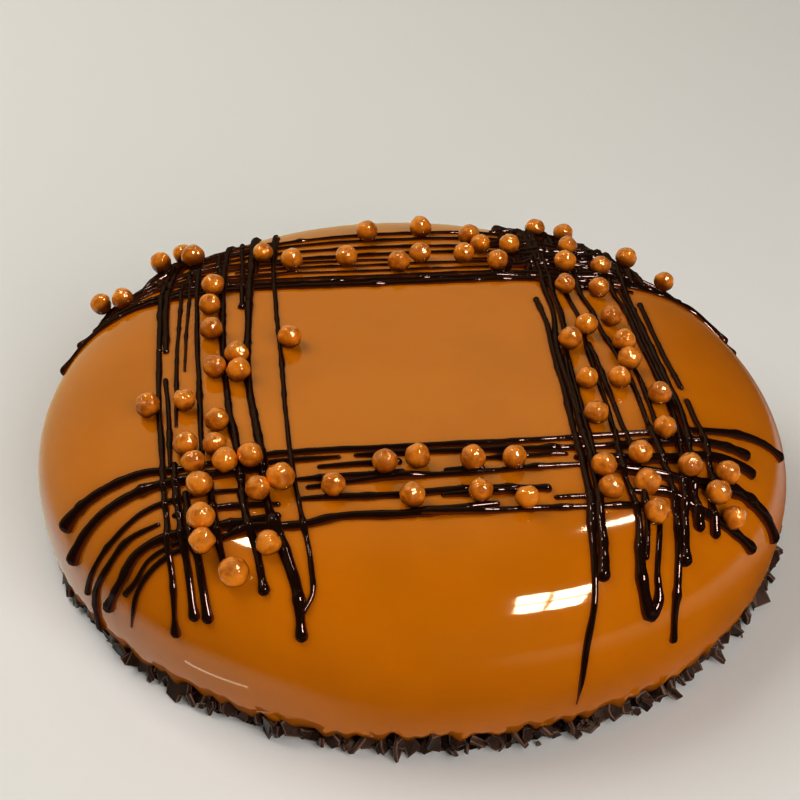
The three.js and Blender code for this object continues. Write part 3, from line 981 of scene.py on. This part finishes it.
class CAKE_OT_pearls(bpy.types.Operator):
    """Scatter the crisp pearls along the drizzle"""

    bl_idname = "cake.pearls"
    bl_label = "Pearls"

    prop_reach = 2.2 * MM
    prop_share = 0.7

    def ball(self):
        """Directions and triangles of a fine ball."""
        ball = bmesh.new()
        bmesh.ops.create_icosphere(ball, subdivisions=4, radius=1)
        directions = np.array([v.co for v in ball.verts])
        faces = np.array([[v.index for v in f.verts] for f in ball.faces])
        ball.free()
        return directions, faces

    def dented(self, rng, directions):
        """Radius of an uneven, dented pearl in each direction, and how deep the dents are there."""
        radius = np.ones(len(directions))
        for wave in (2.2, 3.1, 4.5, 6.5):
            along = directions @ unit(rng.normal(size=3))
            radius += 0.06 / wave * np.sin(2 * wave * along + rng.uniform(0, 6))
        dent = np.zeros(len(directions))
        for _ in range(rng.integers(2, 5)):
            gap = np.arccos(np.clip(directions @ unit(rng.normal(size=3)), -1, 1))
            dent += rng.uniform(0.05, 0.13) * np.exp(-(gap / rng.uniform(0.2, 0.4)) ** 2)
        middle = unit(rng.normal(size=3))
        across = rng.normal(size=3)
        across = unit(across - across @ middle * middle)
        groove = np.exp(-(directions @ across / 0.09) ** 2)
        dent += rng.uniform(0.01, 0.06) * groove * np.clip(directions @ middle, 0, 1) ** 2
        return radius - dent, dent

    def execute(self, context):
        settings = context.scene.cake.pearls
        drizzle = laid_drizzle(context)
        rng = np.random.default_rng(settings.seed)
        directions, ball_faces = self.ball()
        spread = settings.spread
        widths = settings.diameter / MM * rng.uniform(1 - spread, 1 + spread, len(PEARL_PLACES))
        pearls = [(*place, 0, width) for place, width in zip(PEARL_PLACES, widths)]
        points, faces, tones, dents, lows = [], [], [], [], []
        for number, (across, away, raised, width) in enumerate(pearls + list(ODD_PEARLS)):
            spot, normal = drizzle.form.on(np.array((across, away)) * MM)
            width = width * MM
            radius, dent = self.dented(rng, directions)
            gap = np.linalg.norm(drizzle.feet - spot, axis=1)
            under = np.clip(1 - gap / self.prop_reach, 0, 1) * drizzle.rises
            lift = settings.seat * width + self.prop_share * under.max() + raised * MM
            points.append(spot + normal * lift + directions * (radius * width / 2)[:, None])
            faces.append(ball_faces + number * len(directions))
            tones.append(np.full(len(directions), rng.uniform(0, 1)))
            dents.append(dent)
            lows.append(0.5 - 0.5 * directions @ normal)
        columns = {"tone": tones, "dent": dents, "low": lows}
        values = {key: np.concatenate(parts) for key, parts in columns.items()}
        faces = np.vstack(faces).tolist()
        mesh_piece("crisp_pearls", np.vstack(points), faces, pearl_paint(settings), values)
        return {"FINISHED"}


class CAKE_OT_shards(bpy.types.Operator):
    """Press the chocolate shards against the foot"""

    bl_idname = "cake.shards"
    bl_label = "Shards"

    wall_columns = 420
    wall_rows = 9
    wall_height = 7.5 * MM
    wall_rough = 0.35 * MM
    wall_flare = 0.9 * MM
    # Tone far below any shard's, so the crumb wall takes the dark colour: painted shade in the gaps between
    # shards
    wall_shade_tone = -0.8
    worn_rims = (0, 1, 0, 1, 0)
    bend = 0.19
    edge_on_share = 0.4
    raised = 0.9 * MM
    bulge = 1.3 * MM
    bulge_heading = math.radians(65)

    def crumb_wall(self, settings, rng):
        """The cake's foot behind the shards: a flat base and a rough wall of packed crumbs."""
        heading = headings(self.wall_columns)
        rings = []
        for height in np.linspace(0, self.wall_height, self.wall_rows):
            rough = rng.normal(size=self.wall_columns) * self.wall_rough
            flare = self.wall_flare * (1 - height / self.wall_height) ** 2
            radius = settings.foot + rough + flare
            level = np.full(self.wall_columns, height)
            rings.append(round_points(radius, heading, level))
        low, high = np.zeros((1, 3)), np.array([[0, 0, self.wall_height]])
        points = np.vstack(rings + [low, high])
        faces = [tuple(reversed(face)) for face in turned_faces(len(rings), self.wall_columns)]
        return points, faces

    def plate(self, settings, rng, scale):
        """One broken plate: an uneven outline with slanted, chipped rims, bent a little."""
        corners = int(rng.integers(4, 9))
        angle = np.sort(rng.uniform(0, 2 * math.pi, corners)) * 0.35 + headings(corners) * 0.65
        size = scale * (settings.shortest + (settings.longest - settings.shortest) * rng.beta(2.0, 2.4))
        reach = size * rng.uniform(0.55, 1.0, corners)
        stretch = rng.uniform(0.38, 1.0)
        thick = scale ** 0.5 * rng.uniform(settings.thinnest, settings.thickest)
        near, far = rng.uniform(0.8, 1.0, 2)
        rims = ((near - 0.12, -0.5), (near, -0.44), (1.0, 0.0), (far, 0.44), (far - 0.12, 0.5))
        shift = rng.normal(size=2) * 0.08 * size
        rings = []
        for inset, level in rims:
            x = reach * np.cos(angle) * inset + shift[0] * level
            z = reach * np.sin(angle) * inset * stretch + shift[1] * level
            y = thick * level + rng.normal(size=corners) * 0.12 * thick
            rings.append(np.stack([x, y, z], -1))
        points = np.vstack(rings)
        points[:, 1] += rng.normal() * self.bend / size * points[:, 0] ** 2
        last = len(points) - corners
        ends = [tuple(range(corners)), tuple(last + j for j in reversed(range(corners)))]
        return points, ends + band_faces(len(rims), corners)

    def stood(self, settings, rng, points, heading):
        """A plate's points when it is turned, set on the ground and leant against the foot."""
        spin = Quaternion((0, 1, 0), rng.uniform(0, 2 * math.pi))
        lean = Quaternion((1, 0, 0), rng.triangular(-1.0, -0.3, 0.5))
        edge_on = rng.uniform() < self.edge_on_share
        twist = Quaternion((0, 0, 1), rng.normal() * 0.55 + (1.3 if edge_on else 0))
        turn = np.array((twist @ lean @ spin).to_matrix())
        x, y, z = (points @ turn.T).T
        z = z - z.min() + abs(rng.normal()) * self.raised
        bulge = self.bulge * math.cos(heading - self.bulge_heading)
        y = y - (settings.ring + bulge + rng.triangular(-1.6, 0.0, 2.4) * MM)
        cos, sin = math.cos(heading), math.sin(heading)
        return np.stack([x * cos - y * sin, x * sin + y * cos, z], -1)

    def execute(self, context):
        settings = context.scene.cake.shards
        rng = np.random.default_rng(settings.seed)
        points, faces = self.crumb_wall(settings, rng)
        all_points, all_faces = [points], list(faces)
        # The crumb wall is painted dark, as shade in the gaps between the shards
        tones, rims = [np.full(len(points), self.wall_shade_tone)], [np.zeros(len(points))]
        base = len(points)
        turns = (np.arange(settings.count) + rng.uniform(size=settings.count)) / settings.count
        plates = [(turn, 1.0) for turn in turns]
        plates += [(turn, settings.crumb_size) for turn in rng.uniform(size=settings.crumbs)]
        for turn, scale in plates:
            points, faces = self.plate(settings, rng, scale)
            all_points.append(self.stood(settings, rng, points, turn * 2 * math.pi))
            all_faces += [tuple(base + i for i in face) for face in faces]
            tones.append(np.full(len(points), rng.uniform() ** 1.5))
            rims.append(np.repeat(self.worn_rims, len(points) // len(self.worn_rims)))
            base += len(points)
        values = {"tone": np.concatenate(tones), "rim": np.concatenate(rims)}
        points, material = np.vstack(all_points), shard_paint(settings)
        piece = mesh_piece("chocolate_shards", points, all_faces, material, values)
        piece.data.polygons.foreach_set("use_smooth", [False] * len(piece.data.polygons))
        return {"FINISHED"}


class CAKE_OT_stage(bpy.types.Operator):
    """Set up the floor, the soft light and the camera"""

    bl_idname = "cake.stage"
    bl_label = "Stage"

    floor_columns = 96
    film_width = 36
    lamp_tint = (1, 0.97, 0.93)

    def face(self, made, place, aim, spin):
        """Puts an object in its place so that it faces another, turned about its own axis."""
        look = (Vector(aim) - Vector(place)).to_track_quat("-Z", "Y")
        made.location = place
        made.rotation_mode = "QUATERNION"
        made.rotation_quaternion = look @ Quaternion((0, 0, 1), spin)

    def camera(self, settings):
        """The camera, at the photograph's viewing angle."""
        data = bpy.data.cameras.new("camera")
        data.lens = settings.lens
        data.sensor_width = self.film_width
        camera = placed("camera", data)
        self.face(camera, settings.camera_place, settings.camera_aim, settings.camera_roll)
        bpy.context.scene.camera = camera

    def floor(self, settings):
        """A round floor that the glaze doesn't mirror."""
        heading = headings(self.floor_columns)
        rim = round_points(settings.floor_radius, heading, 0 * heading)
        mesh = bpy.data.meshes.new("floor")
        mesh.from_pydata(rim.tolist(), [], [tuple(range(self.floor_columns))])
        mesh.materials.append(floor_paint(settings))
        floor = placed("floor", mesh)
        floor.visible_glossy = False

    def panel_light(self, name, place, size, power, mirrored, spin=0.0):
        """A panel that faces the middle of the floor, either mirrored in the cake or lighting it."""
        data = bpy.data.lights.new(name, "AREA")
        data.shape = "RECTANGLE"
        data.size, data.size_y = size
        data.energy = power
        data.color = self.lamp_tint
        lamp = placed(name, data)
        self.face(lamp, place, (0, 0, 0), spin)
        lamp.visible_camera = False
        lamp.visible_glossy = mirrored
        lamp.visible_diffuse = not mirrored
        return lamp

    def window(self, place, pane, gap, power, spin):
        """A window of two by two panes."""
        for row in (-0.5, 0.5):
            for column in (-0.5, 0.5):
                lamp = self.panel_light("window_pane", place, pane, power, True, spin)
                across = Vector(((pane[0] + gap) * column, (pane[1] + gap) * row, 0))
                lamp.location += lamp.rotation_quaternion @ across

    def world(self, settings):
        """A plain backdrop, and a glow that only shows mirrored in the cake.

        The glow is warm at the back and the left, pale from below, and a pale streak on the right.
        """
        world = bpy.data.worlds.new("studio")
        world.use_nodes = True
        bpy.context.scene.world = world
        paint = Paint(world.node_tree)
        ray = paint.node("ShaderNodeTexCoord", output="Generated")
        right, away, up = (paint.axis(ray, name) for name in "XYZ")
        back = (1 - paint.ramp(up, 0.65, 1.1)) * paint.ramp(away, -0.2, 0.4)
        back = back * (1 - paint.ramp(right, 0.05, 0.4))
        back = back * (paint.ramp(up, 0.42, 0.66) * 0.34 + 0.66)
        lower = up + paint.ramp(right, -0.75, 0.05) * 0.37 - 0.2
        low = (1 - paint.ramp(lower, -0.76, -0.48)) * (1 - paint.ramp(right, -1.0, 0.1) * 0.7)
        level = up + away * 0.36
        streak = (1 - paint.ramp(level, -0.07, 0.07)) * paint.ramp(level, -0.38, -0.05)
        streak = streak * paint.ramp(right, 0.25, 0.6) * 0.6
        tint = paint.blend(back, settings.dim_colour, settings.back_colour)
        tint = paint.blend(low, tint, settings.low_colour)
        tint = paint.blend(streak, tint, settings.low_colour)
        seen = paint.node("ShaderNodeLightPath", output="Is Camera Ray")
        tint = paint.blend(seen, tint, settings.backdrop_colour)
        sockets = {"Color": tint, "Strength": settings.glow}
        paint.finish(paint.node("ShaderNodeBackground", None, sockets), "ShaderNodeOutputWorld")
        world.cycles_visibility.diffuse = False

    def execute(self, context):
        settings = context.scene.cake.stage
        self.camera(settings)
        self.floor(settings)
        self.world(settings)
        self.window(*WINDOW)
        for name, place, size, power, spin in MIRRORED_PANELS:
            self.panel_light(name, place, size, power, True, spin)
        for name, place, size, power in SOFT_PANELS:
            self.panel_light(name, place, size, power, False)
        context.scene.view_settings.view_transform = "Standard"
        return {"FINISHED"}


class CAKE_PT_panel(bpy.types.Panel):
    """Lists the cake's pieces and their settings"""

    bl_idname = "CAKE_PT_panel"
    bl_label = "Caramel Cake"
    bl_space_type = "VIEW_3D"
    bl_region_type = "UI"
    bl_category = "Cake"

    def draw(self, context):
        cake = context.scene.cake
        groups = (cake.stage, cake.glaze, cake.drizzle, cake.pearls, cake.shards)
        for operator, settings in zip(OPERATORS, groups):
            box = self.layout.box()
            box.operator(operator.bl_idname)
            for name in settings.__annotations__:
                box.prop(settings, name)


OPERATORS = (CAKE_OT_stage, CAKE_OT_glaze, CAKE_OT_drizzle, CAKE_OT_pearls, CAKE_OT_shards)
CLASSES = (
    GlazeSettings, DrizzleSettings, PearlSettings, ShardSettings, StageSettings, CakeSettings,
    *OPERATORS, CAKE_PT_panel,
)


def register():
    """Adds the settings, operators and panel to Blender."""
    for cls in CLASSES:
        bpy.utils.register_class(cls)
    bpy.types.Scene.cake = PointerProperty(type=CakeSettings)


def unregister():
    """Takes them out again."""
    del bpy.types.Scene.cake
    for cls in reversed(CLASSES):
        bpy.utils.unregister_class(cls)


def main():
    """Builds the stage and the cake."""
    register()
    bpy.ops.cake.stage()
    bpy.ops.cake.glaze()
    bpy.ops.cake.drizzle()
    bpy.ops.cake.pearls()
    bpy.ops.cake.shards()


if __name__ == "__main__":
    main()
